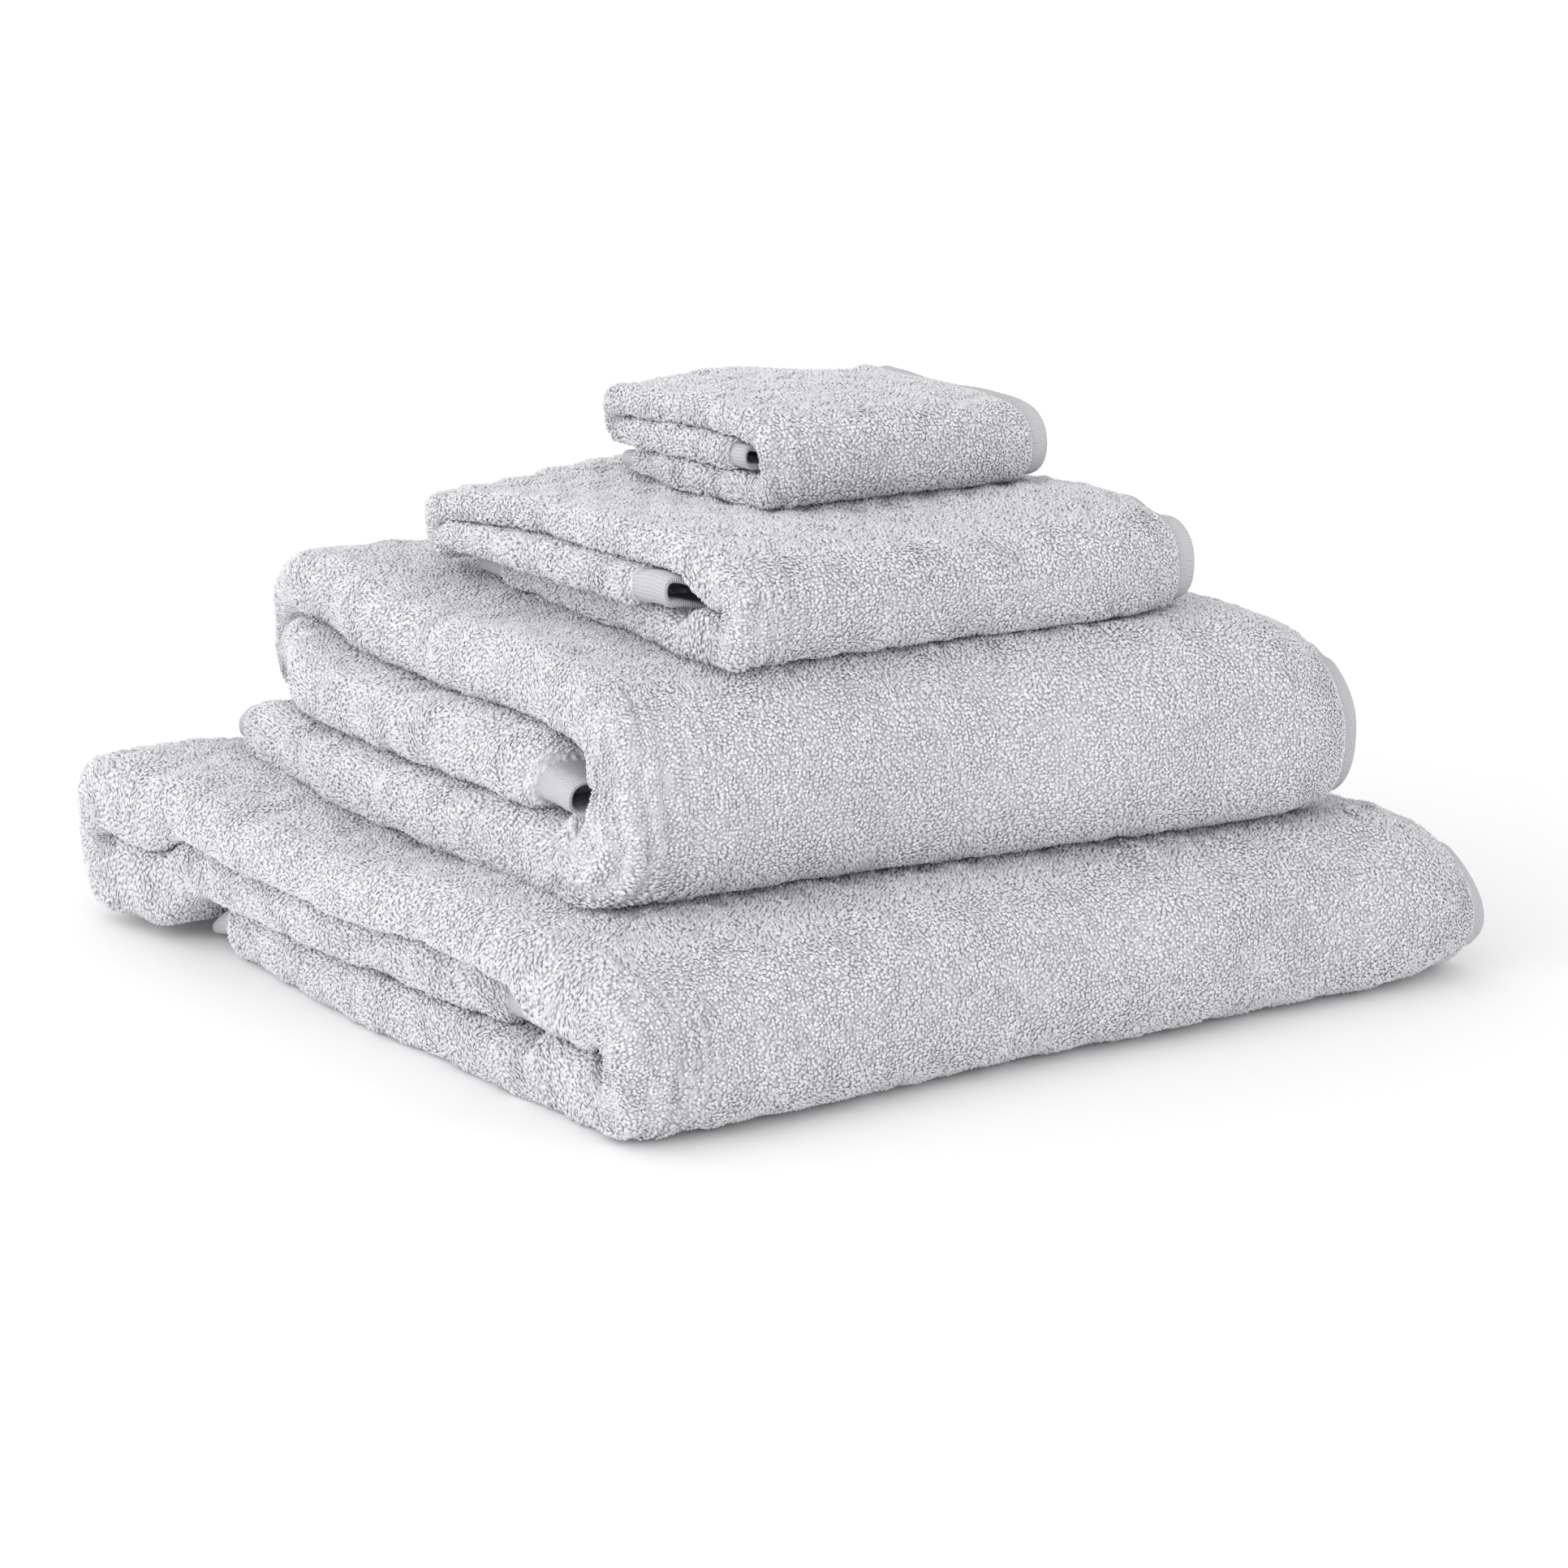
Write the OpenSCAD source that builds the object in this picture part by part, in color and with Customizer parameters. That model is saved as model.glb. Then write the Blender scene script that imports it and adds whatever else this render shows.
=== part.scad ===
// Bath towel set: four folded terry towels in a stack.
// Each towel is folded in half along its length, then in three like a letter.
// Frame: +X right along the front folds, +Y back, +Z up.
// Origin: centre of the bath sheet's underside, where the stack rests.

/* [Bath sheet] */
// Folded width, from the fold lip on the left to the side hems
sheet_w = 450; // [300:1:600]
// Folded depth, from the front fold to the back fold
sheet_d = 444; // [300:1:600]
// Thickness of one of its three folded panels, each the cloth doubled
sheet_panel_t = 24; // [16:0.2:34]
// Turn about the vertical axis, in degrees
sheet_turn = 2.5; // [-8:0.5:8]
// How far its outer end stays short of its back fold
sheet_back_step = 74; // [4:1:100]
// Space between its front fold's axis and its inner end
sheet_cavity = 46; // [1:1:60]

/* [Bath towel] */
// Folded width
bath_w = 367; // [250:1:450]
// Folded depth
bath_d = 366; // [250:1:450]
// Thickness of one of its three folded panels, each the cloth doubled
bath_panel_t = 28.2; // [16:0.2:34]
// Turn about the vertical axis, in degrees
bath_turn = -5; // [-8:0.5:8]
// Place of its centre to the right of the origin
bath_x = 8; // [-30:1:30]
// Place of its centre behind the origin
bath_y = -4; // [-30:1:30]
// How far its outer end stays short of its back fold
bath_back_step = 22; // [4:1:60]
// Space between its front fold's axis and its inner end
bath_cavity = 3; // [1:1:40]

/* [Hand towel] */
// Folded width
hand_w = 241; // [160:1:300]
// Folded depth
hand_d = 258; // [180:1:320]
// Thickness of one of its three folded panels, each the cloth doubled
hand_panel_t = 15.2; // [12:0.2:24]
// Turn about the vertical axis, in degrees
hand_turn = 0.5; // [-8:0.5:8]
// Place of its centre to the right of the origin
hand_x = -2; // [-30:1:30]
// Place of its centre behind the origin
hand_y = -28; // [-40:1:30]
// How far its outer end stays short of its back fold
hand_back_step = 16; // [4:1:40]
// Space between its front fold's axis and its inner end
hand_cavity = 26; // [1:1:40]

/* [Face cloth] */
// Folded width
face_w = 149; // [110:1:200]
// Folded depth
face_d = 135; // [110:1:200]
// Thickness of one of its three folded panels, each the cloth doubled
face_panel_t = 13.2; // [11:0.2:20]
// Turn about the vertical axis, in degrees
face_turn = 0.5; // [-8:0.5:8]
// Place of its centre to the right of the origin
face_x = 13; // [-30:1:30]
// Place of its centre behind the origin
face_y = -20; // [-30:1:30]
// How far its outer end stays short of its back fold
face_back_step = 6; // [2:1:20]
// Space between its front fold's axis and its inner end
face_cavity = 3; // [1:1:12]

/* [Hems] */
// Width of the end hems of the three large towels
end_hem_w = 24; // [12:1:36]
// Width of the face cloth's end hems
face_end_hem_w = 10; // [6:1:16]
// Width of the side hems
side_hem_w = 9; // [5:1:16]
// Thickness of a hem: flat woven cloth turned over and sewn
hem_t = 2.4; // [1.6:0.1:3.6]
// Thickness of the sewing thread
thread_t = 0.6; // [0.4:0.1:1]
// Distance of a seam from the hem's inner edge
seam_inset = 2.5; // [1.5:0.5:3]

/* [Folding] */
// Space between two panels of one towel
panel_gap = 0.6; // [0.3:0.1:1.5]
// Space between the two layers of a panel
layer_gap = 0.6; // [0.3:0.1:1.5]
// Space between one towel and the next
seat_gap = 0.5; // [0.3:0.1:1.5]
// Clearance between the face cloth's opening flap and its front fold
flap_gap = 0.5; // [0.3:0.1:1.5]

/* [Hidden] */
$fn = 64;
half_turn = 180;
terry_grey = [0.75, 0.745, 0.75];
hem_grey = [0.86, 0.86, 0.87];
thread_grey = [0.9, 0.9, 0.91];

// A towel is a list: width, depth, panel thickness, turn, place [x, y, z], end hem width, back step, cavity.
bath_z = stack_h(sheet_panel_t) + seat_gap;
hand_z = bath_z + stack_h(bath_panel_t) + seat_gap;
face_z = hand_z + stack_h(hand_panel_t) + seat_gap;
sheet = [sheet_w, sheet_d, sheet_panel_t, sheet_turn, [0, 0, 0], end_hem_w, sheet_back_step, sheet_cavity];
bath = [bath_w, bath_d, bath_panel_t, bath_turn, [bath_x, bath_y, bath_z], end_hem_w, bath_back_step,
    bath_cavity];
hand = [hand_w, hand_d, hand_panel_t, hand_turn, [hand_x, hand_y, hand_z], end_hem_w, hand_back_step,
    hand_cavity];
face = [face_w, face_d, face_panel_t, face_turn, [face_x, face_y, face_z], face_end_hem_w, face_back_step,
    face_cavity];

function width(t) = t[0];
function depth(t) = t[1];
function panel_t(t) = t[2];
function turn(t) = t[3];
function place(t) = t[4];
function hem_w(t) = t[5];
function step(t) = t[6];
function cavity(t) = t[7];

// A panel is the doubled cloth: two layers with a gap between them.
function stack_h(thickness) = 3 * thickness + 2 * panel_gap;
function height(t) = stack_h(panel_t(t));
function layer_t(t) = (panel_t(t) - layer_gap) / 2;
function layer_mid(t) = (layer_gap + layer_t(t)) / 2;

// Heights of the three panels' middle planes
function bottom_z(t) = panel_t(t) / 2;
function middle_z(t) = bottom_z(t) + panel_t(t) + panel_gap;
function top_z(t) = middle_z(t) + panel_t(t) + panel_gap;

// The front fold wraps the whole height; the back fold joins the top and middle panels.
function front_r(t) = (top_z(t) - bottom_z(t)) / 2;
function back_r(t) = (top_z(t) - middle_z(t)) / 2;
function front_y(t) = (height(t) - depth(t)) / 2;
function back_y(t) = depth(t) / 2 - back_r(t) - panel_t(t) / 2;
function inner_end_y(t) = front_y(t) + cavity(t);
function outer_end_y(t) = depth(t) / 2 - step(t);
function lip_x(t) = (panel_t(t) - width(t)) / 2;
function terry_x(t) = width(t) / 2 - side_hem_w;

// ---- Profiles across the cloth: X is the width, Y is the thickness, + on the outer side ----

// A band of cloth of thickness thick that lies along both layers and round the left lip
module doubled_profile(t, mid, thick, right) {
    outer = mid + thick / 2;
    inner = mid - thick / 2;
    difference() {
        stadium(lip_x(t), right, outer);
        stadium(lip_x(t), right + hem_t, inner);
    }
}

// A bar with a round left end
module stadium(left, right, r) {
    translate([left, -r]) square([right - left, 2 * r]);
    translate([left, 0]) circle(r);
}

module terry_profile(t) {
    doubled_profile(t, layer_mid(t), layer_t(t), terry_x(t));
}

module hem_profile(t) {
    doubled_profile(t, layer_mid(t), hem_t, width(t) / 2);
}

module thread_profile(t) {
    doubled_profile(t, layer_mid(t) + (hem_t + thread_t) / 2, thread_t, width(t) / 2 - seam_inset);
}

// side is 1 for the layer on the outer side and -1 for the layer under it
module side_hem_profile(t, side) {
    translate([terry_x(t), side * layer_mid(t) - hem_t / 2]) square([side_hem_w, hem_t]);
}

module side_thread_profile(t, side) {
    off = layer_mid(t) + (hem_t + thread_t) / 2;
    translate([terry_x(t) + seam_inset, side * off - thread_t / 2]) square(thread_t);
}

// ---- Stretches of the folded path, each sweeping a profile ----

// A straight run from y0 to y1; outer is 1 where the outer side faces up, -1 where it faces down
module run(y0, y1, z, outer) {
    translate([0, y1, z])
        rotate([90, 0, 0])
            linear_extrude(y1 - y0)
                mirror([0, outer > 0 ? 0 : 1])
                    children();
}

// A half-circle fold about a line along X; way is 1 for the back fold, -1 for the front fold
module fold(y, z, r, way) {
    translate([0, y, z])
        rotate([90, 0, 90])
            rotate([0, 0, -90 * way])
                rotate_extrude(angle = half_turn)
                    translate([r, 0])
                        mirror([1, -1])
                            children();
}

module bottom_panel(t, back_end) {
    run(front_y(t), back_end, bottom_z(t), -1) children();
}

module front_fold(t) {
    fold(front_y(t), middle_z(t), front_r(t), -1) children();
}

// The top panel, the back fold and the middle panel as far as front_end
module flap_path(t, front_end, hinge_gap) {
    run(front_y(t) + hinge_gap, back_y(t), top_z(t), 1) children();
    fold(back_y(t), (top_z(t) + middle_z(t)) / 2, back_r(t), 1) children();
    run(front_end, back_y(t), middle_z(t), -1) children();
}

// The whole path of the cloth between its two end hems
module letter_path(t) {
    bottom_panel(t, outer_end_y(t) - hem_w(t)) children();
    front_fold(t) children();
    flap_path(t, inner_end_y(t) + hem_w(t), 0) children();
}

module placed(t) {
    translate(place(t)) rotate([0, 0, turn(t)]) children();
}

// ---- Sub-parts ----

// The terry is made in three stretches: under the fold, the fold itself, and over it.
module base(t, paint) {
    color(paint) placed(t) bottom_panel(t, outer_end_y(t) - hem_w(t)) children();
}

module front(t, paint) {
    color(paint) placed(t) front_fold(t) children();
}

module flap(t, paint, hinge_gap) {
    color(paint) placed(t) flap_path(t, inner_end_y(t) + hem_w(t), hinge_gap) children();
}

module side_hem(t, side) {
    color(hem_grey) placed(t) letter_path(t) side_hem_profile(t, side);
}

module side_thread(t, side) {
    color(thread_grey) placed(t) letter_path(t) side_thread_profile(t, side);
}

module inner_end_hem(t) {
    color(hem_grey) placed(t)
        run(inner_end_y(t), inner_end_y(t) + hem_w(t), middle_z(t), -1) hem_profile(t);
}

module outer_end_hem(t) {
    color(hem_grey) placed(t)
        run(outer_end_y(t) - hem_w(t), outer_end_y(t), bottom_z(t), -1) hem_profile(t);
}

module inner_end_thread(t) {
    seam_y = inner_end_y(t) + hem_w(t) - seam_inset;
    color(thread_grey) placed(t)
        run(seam_y - thread_t, seam_y, middle_z(t), -1) thread_profile(t);
}

module outer_end_thread(t) {
    seam_y = outer_end_y(t) - hem_w(t) + seam_inset;
    color(thread_grey) placed(t)
        run(seam_y, seam_y + thread_t, bottom_z(t), -1) thread_profile(t);
}

// The face cloth's side hems are cut into the same stretches, because it opens about its front fold.
module both_hems() {
    side_hem_profile(face, 1);
    side_hem_profile(face, -1);
}

module both_threads() {
    side_thread_profile(face, 1);
    side_thread_profile(face, -1);
}

base(sheet, terry_grey) terry_profile(sheet);  // bath_sheet_base
front(sheet, terry_grey) terry_profile(sheet);  // bath_sheet_fold
flap(sheet, terry_grey, 0) terry_profile(sheet);  // bath_sheet_flap
inner_end_hem(sheet);  // bath_sheet_inner_end_hem
outer_end_hem(sheet);  // bath_sheet_outer_end_hem
side_hem(sheet, 1);  // bath_sheet_upper_side_hem
side_hem(sheet, -1);  // bath_sheet_lower_side_hem
inner_end_thread(sheet);  // bath_sheet_inner_end_thread
outer_end_thread(sheet);  // bath_sheet_outer_end_thread
side_thread(sheet, 1);  // bath_sheet_upper_side_thread
side_thread(sheet, -1);  // bath_sheet_lower_side_thread

base(bath, terry_grey) terry_profile(bath);  // bath_towel_base
front(bath, terry_grey) terry_profile(bath);  // bath_towel_fold
flap(bath, terry_grey, 0) terry_profile(bath);  // bath_towel_flap
inner_end_hem(bath);  // bath_towel_inner_end_hem
outer_end_hem(bath);  // bath_towel_outer_end_hem
side_hem(bath, 1);  // bath_towel_upper_side_hem
side_hem(bath, -1);  // bath_towel_lower_side_hem
inner_end_thread(bath);  // bath_towel_inner_end_thread
outer_end_thread(bath);  // bath_towel_outer_end_thread
side_thread(bath, 1);  // bath_towel_upper_side_thread
side_thread(bath, -1);  // bath_towel_lower_side_thread

base(hand, terry_grey) terry_profile(hand);  // hand_towel_base
front(hand, terry_grey) terry_profile(hand);  // hand_towel_fold
flap(hand, terry_grey, 0) terry_profile(hand);  // hand_towel_flap
inner_end_hem(hand);  // hand_towel_inner_end_hem
outer_end_hem(hand);  // hand_towel_outer_end_hem
side_hem(hand, 1);  // hand_towel_upper_side_hem
side_hem(hand, -1);  // hand_towel_lower_side_hem
inner_end_thread(hand);  // hand_towel_inner_end_thread
outer_end_thread(hand);  // hand_towel_outer_end_thread
side_thread(hand, 1);  // hand_towel_upper_side_thread
side_thread(hand, -1);  // hand_towel_lower_side_thread

base(face, terry_grey) terry_profile(face);  // face_cloth_base
base(face, hem_grey) both_hems();  // face_cloth_base_side_hems
base(face, thread_grey) both_threads();  // face_cloth_base_side_threads
outer_end_hem(face);  // face_cloth_outer_end_hem
outer_end_thread(face);  // face_cloth_outer_end_thread
front(face, terry_grey) terry_profile(face);  // face_cloth_fold
front(face, hem_grey) both_hems();  // face_cloth_fold_side_hems
front(face, thread_grey) both_threads();  // face_cloth_fold_side_threads
flap(face, terry_grey, flap_gap) terry_profile(face);  // face_cloth_flap
flap(face, hem_grey, flap_gap) both_hems();  // face_cloth_flap_side_hems
flap(face, thread_grey, flap_gap) both_threads();  // face_cloth_flap_side_threads
inner_end_hem(face);  // face_cloth_inner_end_hem
inner_end_thread(face);  // face_cloth_inner_end_thread
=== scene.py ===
"""Folds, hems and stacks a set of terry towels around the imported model, and lights them as in a studio."""

import math

import bpy
import numpy as np
from bpy.props import FloatProperty, IntProperty, PointerProperty, StringProperty
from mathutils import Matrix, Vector


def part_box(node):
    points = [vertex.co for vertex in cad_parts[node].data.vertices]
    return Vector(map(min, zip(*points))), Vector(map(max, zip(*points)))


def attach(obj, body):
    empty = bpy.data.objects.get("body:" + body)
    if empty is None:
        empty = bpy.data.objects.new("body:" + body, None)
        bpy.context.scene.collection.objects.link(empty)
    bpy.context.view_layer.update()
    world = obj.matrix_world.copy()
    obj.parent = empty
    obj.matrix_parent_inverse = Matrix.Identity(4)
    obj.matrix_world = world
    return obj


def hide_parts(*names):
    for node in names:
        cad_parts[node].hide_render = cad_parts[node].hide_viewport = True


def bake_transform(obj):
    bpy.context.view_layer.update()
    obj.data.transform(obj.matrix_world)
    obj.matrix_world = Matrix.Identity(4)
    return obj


bl_info = {
    "name": "Bath towel set",
    "version": (1, 0, 0),
    "blender": (4, 5, 0),
    "location": "3D View > Sidebar > Towels",
    "description": "Folds, hems and stacks four terry towels",
    "category": "Object",
}

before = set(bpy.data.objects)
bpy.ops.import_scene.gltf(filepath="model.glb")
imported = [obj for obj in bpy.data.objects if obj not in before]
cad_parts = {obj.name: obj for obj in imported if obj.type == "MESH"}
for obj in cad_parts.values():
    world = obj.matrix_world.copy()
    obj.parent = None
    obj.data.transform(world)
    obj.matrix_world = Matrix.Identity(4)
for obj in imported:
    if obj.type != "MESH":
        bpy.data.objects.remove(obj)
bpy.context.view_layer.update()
MM = 0.001

# The towels from the floor up; each rides on the body of its own name
STACK = ("bath_sheet", "bath_towel", "hand_towel", "face_cloth")
# The face cloth opens at its front fold, and what lies past the fold rides on this body
FLAP_BODY = "face_cloth_top"


# ---------------------------------------------------------------- sizes and colours


def metres(name, text, default):
    return FloatProperty(
        name=name, description=text, default=default, min=0, max=1, unit="LENGTH", precision=4
    )


def hex_colour(name, text, default):
    return StringProperty(name=name, description=text, default=default)


class TowelSizes(bpy.types.PropertyGroup):
    """One towel, as it lies folded"""

    width: metres("Folded width", "From the fold lip on the left to the side hems", 0.45)
    depth: metres("Folded depth", "From the front fold to the back fold", 0.44)
    panel: metres("Panel thickness", "One of the three folded panels, the cloth doubled", 0.024)
    end_hem: metres("End hem", "Width of the flat woven end hems", 0.024)
    back_step: metres("Back step", "How far the outer end stays short of the back fold", 0.014)
    cavity: metres("Cavity", "From the front fold's axis to the inner end", 0.003)
    loop_gap: metres("Loop spacing", "Distance from one pile loop to the next", 0.0017)
    turn: FloatProperty(name="Turn", description="Turn about the vertical axis", default=0, unit="ROTATION")
    seed: IntProperty(name="Seed", description="Chooses the cloth's small unevenness", default=1)


class ClothSizes(bpy.types.PropertyGroup):
    """What the four towels share"""

    side_hem: metres("Side hem", "Width of the flat woven side hems", 0.009)
    hem_thick: metres("Hem thickness", "Flat woven cloth, turned over and sewn", 0.0024)
    panel_gap: metres("Panel gap", "Space between two panels of one towel", 0.0006)
    layer_gap: metres("Layer gap", "Space between the two layers of a panel", 0.0006)
    seam_inset: metres("Seam inset", "Distance of a seam from the hem's inner edge", 0.0025)
    stitch: metres("Stitch length", "Length of one stitch of the hems' seams", 0.0034)
    thread: metres("Thread", "Thickness of the sewing thread", 0.0006)
    pile: metres("Pile", "Height of the loops above the ground weave", 0.0015)


class DyesAndShade(bpy.types.PropertyGroup):
    """Colours, as sRGB hex; the ground between the loops is painted shade"""

    pile: hex_colour("Loop tips", "The terry's loops where light reaches them", "EAE9EC")
    # painted shade: the terry's colour darkened to stand for the shade between the loops
    ground: hex_colour("Between loops", "The terry's ground in the shade of the loops", "C8C7CC")
    hem: hex_colour("Hems", "Flat woven cloth", "DADADE")
    thread: hex_colour("Thread", "Sewing thread", "E4E4E7")
    floor: hex_colour("Floor", "The studio floor", "FFFFFF")


# turn is in degrees here
TOWEL_DEFAULTS = {
    "bath_sheet": dict(width=0.450, depth=0.444, panel=0.0240, turn=2.5, back_step=0.074, cavity=0.046),
    "bath_towel": dict(width=0.367, depth=0.366, panel=0.0282, turn=-5.0, back_step=0.022),
    "hand_towel": dict(width=0.241, depth=0.258, panel=0.0152, turn=0.5, back_step=0.016, cavity=0.026),
    "face_cloth": dict(width=0.149, depth=0.135, panel=0.0132, turn=0.5, back_step=0.006, end_hem=0.010),
}

# How each towel lies, in millimetres.
# lips: how far the left fold lip moves out at seven places along the cloth, which are the outer end, the
#   bottom panel, the front fold, the front of the top panel, the back fold, the back of the middle panel
#   and the inner end
# crown: soft rises of the top, each a place as shares of half the width and half the depth, a radius and
#   a height
# droop: how far the top sinks along the front
# end: how far the right end draws in, sinks and draws back
# pucker: height of the gathers in the front left corner
# open: how far the inner hem stands open at the lip, as a share of the terry's doubled thickness
# square: how boxy the lips and folds are, 2 being round
LIE = {
    "bath_sheet": dict(
        lips=(-20, -2, 0, 2, 6, -3, -8), crown=((-0.85, 0.8, 70, 8), (0.7, 0.8, 90, -4)), droop=6,
        end=(11, 14, 10), pucker=1.5, open=0.3, square=2.5,
    ),
    "bath_towel": dict(
        lips=(24, 22, -4, -8, -13, 12, -2), crown=((-0.88, 0.85, 60, 5), (0.7, 0.9, 80, 1)), droop=8,
        end=(13, 11, 12), pucker=1.8, open=0.3, square=2.5,
    ),
    "hand_towel": dict(
        lips=(-18, -9, 0, -2, -4, 4, 4), crown=((-0.8, 0.9, 50, -8), (0.75, 0.9, 50, 9)), droop=5,
        end=(12, 4, 6), pucker=1.0, open=0.85, square=2.5,
    ),
    "face_cloth": dict(
        lips=(-3, 0, 0, -1, -1, 2, 0),
        crown=((0.1, 0.95, 30, -3), (0.45, 0.95, 30, -6), (0.95, 0.9, 20, 2)),
        droop=4, end=(9, 4, 5), pucker=0.7, open=0.7, square=2.4,
    ),
}


# Unevenness of the cloth, each a height and a wavelength: the left lips, the right end, the top, the
# bulging of the front and left sides, the ground's bumps, the hems, and the lean of the loops
LIP_WAVE = (1.0 * MM, 0.11)
END_WAVE = (1.2 * MM, 0.11)
TOP_WAVE = (1.2 * MM, 0.16)
BELLY_WAVE = (2.2 * MM, 0.12)
COARSE_BUMPS = (0.3 * MM, 0.022)
FINE_BUMPS = (0.15 * MM, 0.009)
HEM_WAVE = (0.35 * MM, 0.035)
LEAN_WAVE = (0.55 * MM, 0.03)
# How much a loop leans on its own account
STRAY_LEAN = 0.22 * MM

# How far in from a towel's edge the droop of the front, the drawn right end, and the bulging of the front
# and left sides reach
DROOP_REACH = 0.075
END_REACH = 0.07
FRONT_REACH = 0.06
LEFT_REACH = 0.04

# How far loops stand inside the gaps between panels, and how many one piece holds at most
FRINGE = 0.022
MOST_LOOPS = 24000


# How far a hem reaches under the terry, how far side hems stay off the end hems, and how far an end seam
# stays off the side hems' outer edges
TUCK = 0.002
HEM_CLEARANCE = 0.0002
SEAM_MARGIN = 0.002
# A seam's groove in the hem: its depth and half its width
GROOVE_DEPTH = 0.6 * MM
GROOVE_REACH = 0.8 * MM


# ---------------------------------------------------------------- small mathematics


def smooth(x):
    """A ramp from 0 to 1 with soft ends"""
    x = np.clip(x, 0.0, 1.0)
    return x * x * (3 - 2 * x)


def ripple(rng, points, wavelength, waves=18):
    """Soft random unevenness of about unit height, for points in any number of dimensions"""
    aim = rng.normal(size=(waves, points.shape[1]))
    aim /= np.linalg.norm(aim, axis=1)[:, None]
    rate = 2 * math.pi / wavelength * rng.uniform(0.65, 1.35, waves)
    phase = rng.uniform(0, 2 * math.pi, waves)
    return np.cos(points @ (aim * rate[:, None]).T + phase).sum(1) / math.sqrt(waves / 2)


def squared(angle, power):
    """How much further out a round form reaches at an angle when its corners fill out"""
    return (np.abs(np.sin(angle)) ** power + np.abs(np.cos(angle)) ** power) ** (-1 / power)


def graded(low, high, coarse, fine, zones, fade):
    """Lines from low to high, fine apart inside the zones and coarse apart far from them"""
    spots = np.linspace(low, high, 2000)
    away = np.full(len(spots), 1e9)
    for start, end in zones:
        away = np.minimum(away, np.maximum(np.maximum(start - spots, spots - end), 0))
    step = fine + (coarse - fine) * smooth(away / fade)
    count = np.concatenate([[0], np.cumsum(np.diff(spots) / (0.5 * (step[1:] + step[:-1])))])
    return np.interp(np.linspace(0, count[-1], int(round(count[-1])) + 1), count, spots)


# ---------------------------------------------------------------- the fold


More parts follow.
